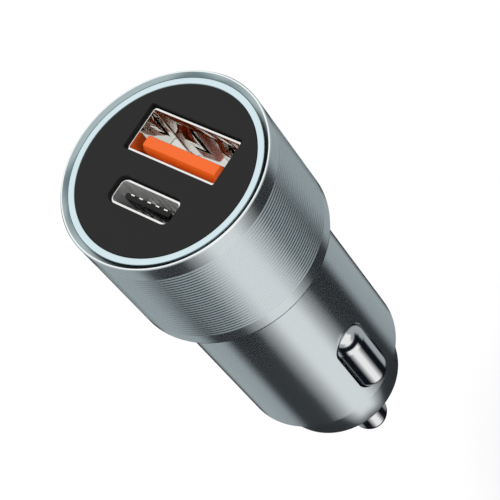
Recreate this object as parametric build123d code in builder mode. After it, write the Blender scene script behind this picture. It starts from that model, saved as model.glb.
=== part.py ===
import os
from math import sqrt

from build123d import *

# Car charger plug for a 12 V socket, in millimetres.
# The axis is Z: the face with the ports looks along +Z and the nose points along -Z.
# The origin is on the axis, in the shoulder that rests on the rim of the car's socket.
# X runs along the ports' long sides and through the two side contacts.

# Head and barrel, turned in one piece
head_d = 24.8
head_len = 17.6
head_floor = 1.4
barrel_d = 20.6
barrel_len = 27.9
barrel_wall = 1.2
rim_w = 0.87
ledge_w = 0.65
rim_land = 0.25
rim_bevel = 0.1
shoulder_bevel = 0.2
barrel_bevel = 0.15

# Fine turned grooves round the head, counted from the face
groove_count = 28
groove_pitch = 0.4785
groove_first = 2.36
groove_w = 0.3
groove_depth = 0.14

# Slots in the barrel for the side contacts
slot_w = 5.0
slot_len = 12.2
slot_from_end = 1.4

# Tapered nose
nose_d = 19.4
nose_edge_d = 16.4
nose_len = 6.8
nose_end_d = 9.2
nose_end_len = 3.9
nose_floor = 3.1
nose_wall = 1.6
nose_edge_round = 0.8
nose_end_round = 0.4

# Front panel and light guide
panel_recess = 0.25
panel_t = 1.2
panel_ledge = 0.9
panel_edge = 0.12
ring_w = 0.73
ring_step = 0.8

# Large port
usb_a_y = 3.4
usb_a_w = 12.5
usb_a_h = 5.12
usb_a_sheet = 0.3
usb_a_corner = 0.35
usb_a_block = 3.9
usb_a_tongue_w = 11.1
usb_a_tongue_t = 1.84
usb_a_tongue_gap = 0.72
usb_a_tongue_setback = 0.5
usb_a_tongue_bevel = 0.3
usb_a_tongue_corner = 0.4
usb_a_strip_w = 1.0
usb_a_strip_t = 0.25
usb_a_strip_proud = 0.1
usb_a_strip_hump = 0.35
usb_a_strip_setback = 1.2
usb_a_strip_places = (-3.5, -1.0, 1.0, 3.5)

# Spring fingers stamped in the long walls of the large port
finger_w = 1.7
finger_len = 5.4
finger_gap = 0.4
finger_reach = 0.45
finger_from_front = 1.5
finger_spacing = 5.6

# Small port
usb_c_y = -4.05
usb_c_w = 8.34
usb_c_h = 2.56
usb_c_sheet = 0.3
usb_c_block = 6.6
usb_c_tongue_w = 6.69
usb_c_tongue_t = 0.7
usb_c_tongue_setback = 1.2
usb_c_strip_w = 0.5
usb_c_strip_t = 0.14
usb_c_strip_pitch = 1.22
usb_c_strip_count = 5
usb_c_strip_low_setback = 2.2

# Both ports
port_setback = 0.5
port_back_t = 0.3
leg_w = 1.8

# Boards
board_t = 1.2
collar_t = 1.4
main_board_t = 1.2
board_groove = 0.5

# Lamps under the light guide
lamp_len = 1.6
lamp_w = 0.8
lamp_h = 0.7
lamp_count = 4

# Parts on the main board
inductor_side = 6.0
inductor_h = 3.2
inductor_corner = 1.0
inductor_below = 6.0
can_d = 6.3
can_h = 4.6
can_base = 6.6
can_base_t = 0.8
can_corner = 1.1
can_edge = 0.3
power_chip_side = 5.0
power_chip_h = 0.9
protocol_chip_side = 4.0
protocol_chip_h = 0.85
chip_below = 13.6
block_cap_len = 7.3
block_cap_w = 4.3
block_cap_h = 2.8
chip_cap_len = 3.2
chip_cap_side = 1.6
chip_cap_pitch = 2.6
chip_cap_count = 3
part_edge = 0.15

# Inner frame
carrier_wall = 1.2
carrier_floor = 0.8
floor_from_end = 0.4
pocket_floor_t = 0.8
pocket_wall = 0.8
spigot_wall = 1.5

# Side contacts and what stands behind them
contact_proud = 1.5
contact_travel = 1.5
contact_sheet = 0.5
flange_side = 0.7
flange_end = 0.75
leaf_room = 0.7
leaf_t = 0.25
leaf_w = 3.2
leaf_half_span = 4.8
tab_t = 0.25

# Centre pin and what stands behind it
pin_d = 4.8
pin_tip_from_nose = 10.2
pin_flange_d = 8.8
pin_flange_t = 1.1
pin_guide_d = 4.4
pin_guide_len = 1.4
bush_d = 6.8
bush_proud = 1.2
bush_flange_t = 1.0
bush_edge = 0.3
spring_wire = 0.5
spring_turns = 4.5
spring_side_count = 5
spring_d = 6.4
plate_t = 0.4
plate_tab_w = 2.4
plate_tab_len = 4.0

# Clearances
ring_fit = 0.05
panel_fit = 0.05
guide_fit = 0.05
port_fit = 0.15
back_fit = 0.15
moulding_fit = 0.05
strip_fit = 0.04
board_fit = 0.12
carrier_fit = 0.1
spigot_fit = 0.05
bush_flange_fit = 0.6
slot_fit = 0.2
stop_fit = 0.1
pocket_fit = 0.2
slit_fit = 0.1
pin_fit = 0.06
spring_fit = 0.05
lamp_fit = 0.15

# Places along the axis and radii that follow from the sizes
head_r = head_d / 2
barrel_r = barrel_d / 2
bore_r = barrel_r - barrel_wall
ring_r = head_r - rim_w
ring_seat_r = ring_r + ring_fit
head_bore_r = ring_seat_r - ledge_w
panel_seat_r = ring_r - ring_w
panel_r = panel_seat_r - panel_fit
face_z = head_len
panel_face_z = face_z - panel_recess
panel_back_z = panel_face_z - panel_t
ledge_z = panel_back_z - ring_step
barrel_end_z = -barrel_len
nose_edge_z = barrel_end_z - nose_len
nose_end_z = nose_edge_z - nose_end_len
nose_floor_z = nose_end_z + nose_floor
collar_r = head_bore_r - board_fit
collar_top_z = head_floor + collar_t
board_top_z = collar_top_z + board_t
port_front_z = panel_face_z - port_setback
port_len = port_front_z - board_top_z
carrier_r = bore_r - carrier_fit
carrier_in_r = carrier_r - carrier_wall
floor_bottom_z = barrel_end_z + floor_from_end
floor_top_z = floor_bottom_z + carrier_floor
spigot_bore_r = nose_edge_d / 2 - nose_wall
spigot_r = spigot_bore_r - spigot_fit
spigot_in_r = spigot_r - spigot_wall
bush_flange_d = 2 * (spigot_bore_r - bush_flange_fit)
bush_top_z = nose_floor_z + bush_flange_t
spigot_end_z = bush_top_z + spigot_fit

# Grooves, as points of the head's outline from the face down
groove_points = []
for groove in range(groove_count):
    groove_z = face_z - groove_first - groove * groove_pitch
    groove_points.append((head_r, groove_z + groove_w / 2))
    groove_points.append((head_r - groove_depth, groove_z))
    groove_points.append((head_r, groove_z - groove_w / 2))

# Side contacts, worked out on the +X side
slot_mid_z = barrel_end_z + slot_from_end + slot_len / 2
contact_w = slot_w - 2 * slot_fit
contact_len = slot_len - 2 * slot_fit
crown_r = contact_w / 2
crown_x = barrel_r + contact_proud - crown_r
flange_w = slot_w + 2 * flange_side
flange_len = slot_len + 2 * flange_end
flange_top_x = sqrt(bore_r**2 - (flange_w / 2) ** 2) - stop_fit
flange_back_x = flange_top_x - contact_sheet
leaf_top_x = flange_back_x - spring_fit
tab_top_x = leaf_top_x - contact_travel - leaf_room
pocket_x = tab_top_x - tab_t
pocket_in_x = pocket_x - pocket_floor_t
pocket_w = flange_w + 2 * pocket_fit
pocket_len = flange_len + 2 * pocket_fit
tab_end_z = slot_mid_z + leaf_half_span + leaf_t + tab_t

# Main board
board_half_w = carrier_in_r + board_groove
board_face_x = main_board_t / 2
inductor_z = collar_top_z - inductor_below
chip_z = collar_top_z - chip_below


# Turned shell: rim, grooved head, shoulder and barrel
with BuildPart() as housing:
    with BuildSketch(Plane.XZ):
        with BuildLine():
            Polyline(
                (ring_seat_r, ledge_z),
                (ring_seat_r, panel_face_z),
                (head_r - rim_bevel - rim_land, face_z),
                (head_r - rim_bevel, face_z),
                (head_r, face_z - rim_bevel),
                *groove_points,
                (head_r, shoulder_bevel),
                (head_r - shoulder_bevel, 0),
                (barrel_r, 0),
                (barrel_r, barrel_end_z + barrel_bevel),
                (barrel_r - barrel_bevel, barrel_end_z),
                (bore_r, barrel_end_z),
                (bore_r, head_floor),
                (head_bore_r, head_floor),
                (head_bore_r, ledge_z),
                close=True,
            )
        make_face()
    revolve(axis=Axis.Z)
    with BuildSketch(Plane.YZ):
        with Locations((0, slot_mid_z)):
            SlotOverall(slot_len, slot_w, rotation=90)
    extrude(amount=head_d, both=True, mode=Mode.SUBTRACT)
housing.part.label = "housing"

# Tapered nose, screwed on the inner frame's spigot against the end of the barrel
with BuildPart() as nose_cap:
    with BuildSketch(Plane.XZ) as nose_profile:
        with BuildLine():
            Polyline(
                (spigot_bore_r, barrel_end_z),
                (nose_d / 2, barrel_end_z),
                (nose_edge_d / 2, nose_edge_z),
                (nose_end_d / 2, nose_end_z),
                (bush_d / 2 + moulding_fit, nose_end_z),
                (bush_d / 2 + moulding_fit, nose_floor_z),
                (spigot_bore_r, nose_floor_z),
                close=True,
            )
        make_face()
        for corner_r, corner_z, corner_round in (
            (nose_edge_d / 2, nose_edge_z, nose_edge_round),
            (nose_end_d / 2, nose_end_z, nose_end_round),
        ):
            fillet(nose_profile.vertices().sort_by_distance((corner_r, corner_z))[0], corner_round)
    revolve(axis=Axis.Z)
nose_cap.part.label = "nose_cap"

# Light guide: a sleeve over the lamps, with the bright ring at its front
guide_r = head_bore_r - guide_fit
guide_in_r = panel_seat_r - panel_ledge
guide_bottom_z = board_top_z + lamp_h + lamp_fit
with BuildPart() as light_ring:
    with BuildSketch(Plane.XZ):
        with BuildLine():
            Polyline(
                (guide_in_r, guide_bottom_z),
                (guide_r, guide_bottom_z),
                (guide_r, ledge_z),
                (ring_r, ledge_z),
                (ring_r, panel_face_z),
                (panel_seat_r, panel_face_z),
                (panel_seat_r, panel_back_z),
                (guide_in_r, panel_back_z),
                close=True,
            )
        make_face()
    revolve(axis=Axis.Z)
light_ring.part.label = "light_ring"

# Front panel with the two port openings
with BuildPart() as front_panel:
    with BuildSketch(Plane.XY.offset(panel_back_z)):
        Circle(panel_r)
    extrude(amount=panel_t)
    chamfer(front_panel.edges().filter_by(GeomType.CIRCLE).sort_by(Axis.Z)[-1], panel_edge)
    with BuildSketch(Plane.XY.offset(panel_back_z)):
        with Locations((0, usb_a_y)):
            RectangleRounded(
                usb_a_w + 2 * (usb_a_sheet + port_fit),
                usb_a_h + 2 * (usb_a_sheet + port_fit),
                usb_a_corner + usb_a_sheet + port_fit,
            )
        with Locations((0, usb_c_y)):
            SlotOverall(
                usb_c_w + 2 * (usb_c_sheet + port_fit),
                usb_c_h + 2 * (usb_c_sheet + port_fit),
            )
    extrude(amount=panel_t, mode=Mode.SUBTRACT)
front_panel.part.label = "front_panel"

# Large port's steel shell, with solder legs, spring fingers and a back that the tongue comes through
tongue_y = usb_a_y - usb_a_h / 2 + usb_a_tongue_gap + usb_a_tongue_t / 2
tongue_top_y = tongue_y + usb_a_tongue_t / 2
usb_a_block_z = board_top_z + usb_a_block
usb_a_back_z = usb_a_block_z + moulding_fit
usb_a_tongue_z = port_front_z - usb_a_tongue_setback
strip_bed_y = tongue_top_y + usb_a_strip_proud - usb_a_strip_t
finger_top_z = port_front_z - finger_from_front
finger_mid_z = finger_top_z - finger_len / 2
finger_tip_z = finger_top_z - finger_len + finger_gap
with BuildPart() as usb_a_shell:
    with BuildSketch(Plane.XY.offset(board_top_z)):
        with Locations((0, usb_a_y)):
            RectangleRounded(
                usb_a_w + 2 * usb_a_sheet,
                usb_a_h + 2 * usb_a_sheet,
                usb_a_corner + usb_a_sheet,
            )
            RectangleRounded(usb_a_w, usb_a_h, usb_a_corner, mode=Mode.SUBTRACT)
    extrude(amount=port_len)
    with BuildSketch(Plane.XY.offset(usb_a_back_z)):
        with Locations((0, usb_a_y)):
            RectangleRounded(usb_a_w + usb_a_sheet, usb_a_h + usb_a_sheet, usb_a_corner)
        with Locations((0, tongue_y + usb_a_strip_proud / 2)):
            Rectangle(
                usb_a_tongue_w + 2 * back_fit,
                usb_a_tongue_t + usb_a_strip_proud + 2 * back_fit,
                mode=Mode.SUBTRACT,
            )
    extrude(amount=port_back_t)
    with BuildSketch(Plane.XY.offset(collar_top_z)):
        with Locations((0, usb_a_y)):
            with GridLocations(usb_a_w + usb_a_sheet, 1, 2, 1):
                Rectangle(usb_a_sheet, leg_w)
    extrude(amount=board_t)
    with BuildSketch(Plane.XZ.offset(-usb_a_y)):
        with Locations((0, finger_mid_z)):
            with GridLocations(finger_spacing, 1, 2, 1):
                Rectangle(finger_w + 2 * finger_gap, finger_len)
    extrude(amount=usb_a_h, both=True, mode=Mode.SUBTRACT)
    with BuildSketch(Plane.YZ.offset(finger_spacing / 2), Plane.YZ.offset(-finger_spacing / 2)):
        for wall in (-1, 1):
            wall_in_y = usb_a_y + wall * usb_a_h / 2
            wall_out_y = wall_in_y + wall * usb_a_sheet
            bend_in_y = wall_in_y - wall * finger_reach
            bend_out_y = bend_in_y + wall * usb_a_sheet
            with BuildLine():
                Polyline(
                    (wall_in_y, finger_top_z),
                    (bend_in_y, finger_mid_z),
                    (wall_in_y, finger_tip_z),
                    (wall_out_y, finger_tip_z),
                    (bend_out_y, finger_mid_z),
                    (wall_out_y, finger_top_z),
                    close=True,
                )
            make_face()
    extrude(amount=finger_w / 2, both=True)
usb_a_shell.part.label = "usb_a_shell"

# Large port's moulding: block on the board and the tongue, on the side of the small port
with BuildPart() as usb_a_insulator:
    with BuildSketch(Plane.XY.offset(board_top_z)):
        with Locations((0, usb_a_y)):
            RectangleRounded(
                usb_a_w - 2 * moulding_fit,
                usb_a_h - 2 * moulding_fit,
                usb_a_corner,
            )
    extrude(amount=usb_a_block)
    with BuildSketch(Plane.XY.offset(board_top_z)):
        with Locations((0, tongue_y)):
            RectangleRounded(usb_a_tongue_w, usb_a_tongue_t, usb_a_tongue_corner)
    extrude(amount=usb_a_tongue_z - board_top_z)
    chamfer(usb_a_insulator.faces().sort_by(Axis.Z)[-1].edges(), usb_a_tongue_bevel)
    with BuildSketch(Plane.XY.offset(board_top_z)):
        for strip_x in usb_a_strip_places:
            with Locations((strip_x, strip_bed_y - strip_fit)):
                Rectangle(
                    usb_a_strip_w + 2 * strip_fit,
                    usb_a_strip_t + 2 * strip_fit,
                    align=(Align.CENTER, Align.MIN),
                )
    extrude(amount=usb_a_tongue_z - usb_a_strip_setback + strip_fit - board_top_z, mode=Mode.SUBTRACT)
usb_a_insulator.part.label = "usb_a_insulator"

# Large port's contact strips, from the board up the tongue, each with a raised hump
strip_top_z = usb_a_tongue_z - usb_a_strip_setback
strip_low_z = usb_a_back_z + port_back_t
strip_hump_z = (strip_top_z + strip_low_z) / 2
with BuildPart() as usb_a_contacts:
    with BuildSketch(*[Plane.YZ.offset(strip_x) for strip_x in usb_a_strip_places]):
        with BuildLine():
            strip_front = Polyline(
                (strip_bed_y + usb_a_strip_t, strip_low_z),
                (strip_bed_y + usb_a_strip_t, collar_top_z),
                (strip_bed_y, collar_top_z),
                (strip_bed_y, strip_top_z),
                (strip_bed_y + usb_a_strip_t, strip_top_z),
            )
            ThreePointArc(
                strip_front @ 1,
                (strip_bed_y + usb_a_strip_t + usb_a_strip_hump, strip_hump_z),
                strip_front @ 0,
            )
        make_face()
    extrude(amount=usb_a_strip_w / 2, both=True)
usb_a_contacts.part.label = "usb_a_contacts"

# Small port's steel shell, with solder legs and a back that the tongue comes through
usb_c_back_z = board_top_z + usb_c_block + moulding_fit
with BuildPart() as usb_c_shell:
    with BuildSketch(Plane.XY.offset(board_top_z)):
        with Locations((0, usb_c_y)):
            SlotOverall(usb_c_w + 2 * usb_c_sheet, usb_c_h + 2 * usb_c_sheet)
            SlotOverall(usb_c_w, usb_c_h, mode=Mode.SUBTRACT)
    extrude(amount=port_len)
    with BuildSketch(Plane.XY.offset(usb_c_back_z)):
        with Locations((0, usb_c_y)):
            SlotOverall(usb_c_w + usb_c_sheet, usb_c_h + usb_c_sheet)
            SlotOverall(
                usb_c_tongue_w + 2 * back_fit,
                usb_c_tongue_t + 2 * back_fit,
                mode=Mode.SUBTRACT,
            )
    extrude(amount=port_back_t)
    with BuildSketch(Plane.XY.offset(collar_top_z)):
        with Locations((0, usb_c_y)):
            with GridLocations(usb_c_w + usb_c_sheet, 1, 2, 1):
                Rectangle(usb_c_sheet, usb_c_sheet)
    extrude(amount=board_t)
usb_c_shell.part.label = "usb_c_shell"

# Small port's moulding: block on the board and the thin tongue, with a bed for each strip
usb_c_tongue_z = port_front_z - usb_c_tongue_setback
usb_c_row_y = (usb_c_tongue_t - usb_c_strip_t) / 2
usb_c_rows = (
    (usb_c_y + usb_c_row_y, usb_c_tongue_z),
    (usb_c_y - usb_c_row_y, usb_c_tongue_z - usb_c_strip_low_setback),
)
with BuildPart() as usb_c_tongue:
    with BuildSketch(Plane.XY.offset(board_top_z)):
        with Locations((0, usb_c_y)):
            SlotOverall(usb_c_w - 2 * moulding_fit, usb_c_h - 2 * moulding_fit)
    extrude(amount=usb_c_block)
    with BuildSketch(Plane.XY.offset(board_top_z)):
        with Locations((0, usb_c_y)):
            SlotOverall(usb_c_tongue_w, usb_c_tongue_t)
    extrude(amount=usb_c_tongue_z - board_top_z)
    for row_y, row_z in usb_c_rows:
        with BuildSketch(Plane.XY.offset(board_top_z)):
            with Locations((0, row_y)):
                with GridLocations(usb_c_strip_pitch, 1, usb_c_strip_count, 1):
                    Rectangle(usb_c_strip_w + 2 * strip_fit, usb_c_strip_t + 2 * strip_fit)
        extrude(amount=row_z + strip_fit - board_top_z, mode=Mode.SUBTRACT)
usb_c_tongue.part.label = "usb_c_tongue"

# Small port's contact strips, on both faces of its tongue; one row stops further back
with BuildPart() as usb_c_contacts:
    for row_y, row_z in usb_c_rows:
        with BuildSketch(Plane.XY.offset(collar_top_z)):
            with Locations((0, row_y)):
                with GridLocations(usb_c_strip_pitch, 1, usb_c_strip_count, 1):
                    Rectangle(usb_c_strip_w, usb_c_strip_t)
        extrude(amount=row_z - collar_top_z)
usb_c_contacts.part.label = "usb_c_contacts"

# Round board that carries the ports and the lamps
with BuildPart() as port_board:
    with BuildSketch(Plane.XY.offset(collar_top_z)):
        Circle(collar_r)
        with Locations((0, usb_a_y)):
            with GridLocations(usb_a_w + usb_a_sheet, 1, 2, 1):
                Rectangle(usb_a_sheet + 2 * strip_fit, leg_w + 2 * strip_fit, mode=Mode.SUBTRACT)
        with Locations((0, usb_c_y)):
            with GridLocations(usb_c_w + usb_c_sheet, 1, 2, 1):
                Rectangle(usb_c_sheet + 2 * strip_fit, usb_c_sheet + 2 * strip_fit, mode=Mode.SUBTRACT)
            with GridLocations(usb_c_strip_pitch, usb_c_tongue_t - usb_c_strip_t, usb_c_strip_count, 2):
                Rectangle(
                    usb_c_strip_w + 2 * strip_fit,
                    usb_c_strip_t + 2 * strip_fit,
                    mode=Mode.SUBTRACT,
                )
        for strip_x in usb_a_strip_places:
            with Locations((strip_x, strip_bed_y + usb_a_strip_t / 2)):
                Rectangle(
                    usb_a_strip_w + 2 * strip_fit,
                    usb_a_strip_t + 2 * strip_fit,
                    mode=Mode.SUBTRACT,
                )
    extrude(amount=board_t)
port_board.part.label = "port_board"

# Lamps on the board, under the light guide
with BuildPart() as ring_lights:
    with BuildSketch(Plane.XY.offset(board_top_z)):
        with PolarLocations((guide_in_r + collar_r) / 2, lamp_count):
            Rectangle(lamp_w, lamp_len)
    extrude(amount=lamp_h)
ring_lights.part.label = "ring_lights"

# Converter board along the axis, in the inner frame's grooves
with BuildPart() as main_board:
    with BuildSketch(Plane.YZ):
        with Locations((0, (floor_top_z + collar_top_z) / 2)):
            Rectangle(2 * board_half_w, collar_top_z - floor_top_z)
    extrude(amount=main_board_t / 2, both=True)
main_board.part.label = "main_board"

# Shielded inductor on the board's +X face
with BuildPart() as inductor:
    with Locations((board_face_x, 0, inductor_z)):
        Box(inductor_h, inductor_side, inductor_side, align=(Align.MIN, Align.CENTER, Align.CENTER))
    chamfer(inductor.edges().filter_by(Axis.X), inductor_corner)
    fillet(inductor.faces().sort_by(Axis.X)[-1].edges(), part_edge)
inductor.part.label = "inductor"

# Can capacitor on its square base, on the board's -X face
with BuildPart() as input_capacitor:
    with BuildSketch(Plane.YZ.offset(-board_face_x)):
        with Locations((0, inductor_z)):
            RectangleRounded(can_base, can_base, can_corner)
    extrude(amount=-can_base_t)
    with BuildSketch(Plane.YZ.offset(-board_face_x)):
        with Locations((0, inductor_z)):
            Circle(can_d / 2)
    extrude(amount=-can_h)
    chamfer(input_capacitor.faces().sort_by(Axis.X)[0].edges(), can_edge)
input_capacitor.part.label = "input_capacitor"

# Moulded block capacitor on the board's -X face
with BuildPart() as output_capacitor:
    with Locations((-board_face_x, 0, slot_mid_z)):
        Box(block_cap_h, block_cap_w, block_cap_len, align=(Align.MAX, Align.CENTER, Align.CENTER))
    chamfer(output_capacitor.faces().sort_by(Axis.X)[0].edges(), part_edge)
output_capacitor.part.label = "output_capacitor"

# Converter chip on the board's +X face
with BuildPart() as power_chip:
    with Locations((board_face_x, 0, chip_z)):
        Box(power_chip_h, power_chip_side, power_chip_side, align=(Align.MIN, Align.CENTER, Align.CENTER))
    chamfer(power_chip.faces().sort_by(Axis.X)[-1].edges(), part_edge)
power_chip.part.label = "power_chip"

# Port chip on the board's -X face
with BuildPart() as protocol_chip:
    with Locations((-board_face_x, 0, chip_z)):
        Box(
            protocol_chip_h,
            protocol_chip_side,
            protocol_chip_side,
            align=(Align.MAX, Align.CENTER, Align.CENTER),
        )
    chamfer(protocol_chip.faces().sort_by(Axis.X)[0].edges(), part_edge)
protocol_chip.part.label = "protocol_chip"

# Row of ceramic capacitors on the board's +X face
with BuildPart() as chip_capacitors:
    with BuildSketch(Plane.YZ.offset(board_face_x)):
        with Locations((0, slot_mid_z)):
            with GridLocations(chip_cap_pitch, 1, chip_cap_count, 1):
                Rectangle(chip_cap_side, chip_cap_len)
    extrude(amount=chip_cap_side)
chip_capacitors.part.label = "chip_capacitors"

# Inner frame: collar on the head's floor, sleeve in the barrel, two pockets, floor and spigot
pocket_top_z = slot_mid_z + pocket_len / 2
block_top_z = pocket_top_z + pocket_wall
with BuildPart() as carrier:
    with BuildSketch(Plane.XZ):
        with BuildLine():
            Polyline(
                (carrier_in_r, collar_top_z),
                (collar_r, collar_top_z),
                (collar_r, head_floor),
                (carrier_r, head_floor),
                (carrier_r, barrel_end_z),
                (spigot_r, barrel_end_z),
                (spigot_r, spigot_end_z),
                (spigot_in_r, spigot_end_z),
                (spigot_in_r, floor_bottom_z),
                (0, floor_bottom_z),
                (0, floor_top_z),
                (carrier_in_r, floor_top_z),
                close=True,
            )
        make_face()
    revolve(axis=Axis.Z)
    with BuildSketch(Plane.XY.offset(floor_top_z)):
        Circle(carrier_r)
        Rectangle(2 * pocket_in_x, carrier_r * 2, mode=Mode.SUBTRACT)
        with GridLocations(1, pocket_w + 2 * pocket_wall + carrier_r, 1, 2):
            Rectangle(carrier_r * 2, carrier_r, mode=Mode.SUBTRACT)
    extrude(amount=block_top_z - floor_top_z)
    for side, outward in ((1, Align.MIN), (-1, Align.MAX)):
        with Locations((side * pocket_x, 0, slot_mid_z)):
            Box(
                carrier_r,
                pocket_w,
                pocket_len,
                align=(outward, Align.CENTER, Align.CENTER),
                mode=Mode.SUBTRACT,
            )
        with Locations((side * pocket_in_x, 0, tab_end_z - tab_t / 2)):
            Box(
                pocket_floor_t,
                leaf_w + 2 * slit_fit,
                tab_t + 2 * slit_fit,
                align=(outward, Align.CENTER, Align.CENTER),
                mode=Mode.SUBTRACT,
            )
    with Locations((0, 0, collar_top_z)):
        Box(
            main_board_t + 2 * slit_fit,
            2 * (board_half_w + slit_fit),
            collar_top_z - floor_top_z,
            align=(Align.CENTER, Align.CENTER, Align.MAX),
            mode=Mode.SUBTRACT,
        )
    with Locations((board_face_x + plate_t / 2, 0, floor_bottom_z)):
        Box(
            plate_t + 2 * slit_fit,
            plate_tab_w + 2 * slit_fit,
            carrier_floor,
            align=(Align.CENTER, Align.CENTER, Align.MIN),
            mode=Mode.SUBTRACT,
        )
carrier.part.label = "carrier"

# Pressed side contact: half-round crown with domed ends, hollow behind, on a flange behind the wall
crown_plane = Plane(origin=(flange_back_x, 0, slot_mid_z), x_dir=(0, 0, 1), z_dir=(1, 0, 0))
crown_step = contact_len - contact_w
with BuildPart() as side_contact_right:
    with BuildSketch(crown_plane):
        SlotOverall(flange_len, flange_w)
    extrude(amount=contact_sheet)
    with BuildSketch(crown_plane):
        SlotOverall(contact_len, contact_w)
    extrude(amount=crown_x - flange_back_x)
    for crown_mode, radius in ((Mode.ADD, crown_r), (Mode.SUBTRACT, crown_r - contact_sheet)):
        with Locations((crown_x, 0, slot_mid_z)):
            Cylinder(radius, crown_step, mode=crown_mode)
        with Locations(
            (crown_x, 0, slot_mid_z - crown_step / 2),
            (crown_x, 0, slot_mid_z + crown_step / 2),
        ):
            Sphere(radius, mode=crown_mode)
    with BuildSketch(crown_plane.offset(crown_x - flange_back_x)):
        SlotOverall(contact_len - 2 * contact_sheet, contact_w - 2 * contact_sheet)
    extrude(amount=-crown_x, mode=Mode.SUBTRACT)
side_contact_right.part.label = "side_contact_right"

with BuildPart() as side_contact_left:
    mirror(side_contact_right.part, about=Plane.YZ)
side_contact_left.part.label = "side_contact_left"

# Bowed leaf spring between the contact's back and the earth tab
with BuildPart() as contact_spring_right:
    with BuildSketch(Plane.XZ):
        with BuildLine():
            outer_bow = ThreePointArc(
                (tab_top_x, slot_mid_z - leaf_half_span - leaf_t),
                (leaf_top_x, slot_mid_z),
                (tab_top_x, slot_mid_z + leaf_half_span + leaf_t),
            )
            inner_bow = ThreePointArc(
                (tab_top_x, slot_mid_z - leaf_half_span),
                (leaf_top_x - leaf_t, slot_mid_z),
                (tab_top_x, slot_mid_z + leaf_half_span),
            )
            Line(outer_bow @ 0, inner_bow @ 0)
            Line(outer_bow @ 1, inner_bow @ 1)
        make_face()
    extrude(amount=leaf_w / 2, both=True)
contact_spring_right.part.label = "contact_spring_right"

with BuildPart() as contact_spring_left:
    mirror(contact_spring_right.part, about=Plane.YZ)
contact_spring_left.part.label = "contact_spring_left"

# Earth tab: strip on the pocket's floor, its tail through the floor to the main board
with BuildPart() as earth_tab_right:
    with BuildSketch(Plane.XZ):
        with BuildLine():
            Polyline(
                (tab_top_x, slot_mid_z - leaf_half_span - leaf_t - tab_t),
                (tab_top_x, tab_end_z),
                (board_face_x, tab_end_z),
                (board_face_x, tab_end_z - tab_t),
                (pocket_x, tab_end_z - tab_t),
                (pocket_x, slot_mid_z - leaf_half_span - leaf_t - tab_t),
                close=True,
            )
        make_face()
    extrude(amount=leaf_w / 2, both=True)
earth_tab_right.part.label = "earth_tab_right"

with BuildPart() as earth_tab_left:
    mirror(earth_tab_right.part, about=Plane.YZ)
earth_tab_left.part.label = "earth_tab_left"

# Insulating bush in the end of the nose
bush_bore_r = pin_d / 2 + pin_fit
bush_end_z = nose_end_z - bush_proud
with BuildPart() as pin_bush:
    with BuildSketch(Plane.XZ):
        with BuildLine():
            Polyline(
                (bush_bore_r, bush_top_z),
                (bush_flange_d / 2, bush_top_z),
                (bush_flange_d / 2, nose_floor_z),
                (bush_d / 2, nose_floor_z),
                (bush_d / 2, bush_end_z + bush_edge),
                (bush_d / 2 - bush_edge, bush_end_z),
                (bush_bore_r, bush_end_z),
                close=True,
            )
        make_face()
    revolve(axis=Axis.Z)
pin_bush.part.label = "pin_bush"

# Centre pin: round tip, flange that stops on the bush, and a guide inside its spring
pin_tip_z = nose_end_z - pin_tip_from_nose
pin_stop_z = bush_top_z + spring_fit
pin_flange_z = pin_stop_z + pin_flange_t
with BuildPart() as centre_pin:
    with BuildSketch(Plane.XZ):
        with BuildLine():
            pin_side = Polyline(
                (0, pin_tip_z),
                (0, pin_flange_z + pin_guide_len),
                (pin_guide_d / 2, pin_flange_z + pin_guide_len),
                (pin_guide_d / 2, pin_flange_z),
                (pin_flange_d / 2, pin_flange_z),
                (pin_flange_d / 2, pin_stop_z),
                (pin_d / 2, pin_stop_z),
                (pin_d / 2, pin_tip_z + pin_d / 2),
            )
            RadiusArc(pin_side @ 1, pin_side @ 0, pin_d / 2)
        make_face()
    revolve(axis=Axis.Z)
centre_pin.part.label = "centre_pin"

# Plate under the inner frame's floor, with a tab up to the main board
plate_z = floor_bottom_z - plate_t
with BuildPart() as positive_plate:
    with BuildSketch(Plane.XY.offset(plate_z)):
        Circle(spigot_in_r - slit_fit)
    extrude(amount=plate_t)
    with BuildSketch(Plane.XY.offset(plate_z)):
        with Locations((board_face_x + plate_t / 2, 0)):
            Rectangle(plate_t, plate_tab_w)
    extrude(amount=plate_t + carrier_floor + plate_tab_len)
positive_plate.part.label = "positive_plate"

# Coil spring between the plate and the pin's flange
coil_low_z = pin_flange_z + spring_fit + spring_wire / 2
coil_len = plate_z - spring_fit - spring_wire / 2 - coil_low_z
with BuildPart() as pin_spring:
    with BuildLine():
        coil = Helix(coil_len / spring_turns, coil_len, spring_d / 2, center=(0, 0, coil_low_z))
    with BuildSketch(Plane(origin=coil @ 0, z_dir=coil % 0)):
        RegularPolygon(spring_wire / 2, spring_side_count)
    sweep(is_frenet=True)
pin_spring.part.label = "pin_spring"

os.makedirs("parts", exist_ok=True)
for piece in (
    housing,
    nose_cap,
    light_ring,
    front_panel,
    usb_a_shell,
    usb_a_insulator,
    usb_a_contacts,
    usb_c_shell,
    usb_c_tongue,
    usb_c_contacts,
    port_board,
    ring_lights,
    main_board,
    inductor,
    input_capacitor,
    output_capacitor,
    power_chip,
    protocol_chip,
    chip_capacitors,
    carrier,
    side_contact_right,
    side_contact_left,
    contact_spring_right,
    contact_spring_left,
    earth_tab_right,
    earth_tab_left,
    pin_bush,
    centre_pin,
    positive_plate,
    pin_spring,
):
    export_step(piece.part, f"parts/{piece.part.label}.step")
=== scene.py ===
import math

import bmesh
import bpy
from mathutils import Matrix, Quaternion, Vector


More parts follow.
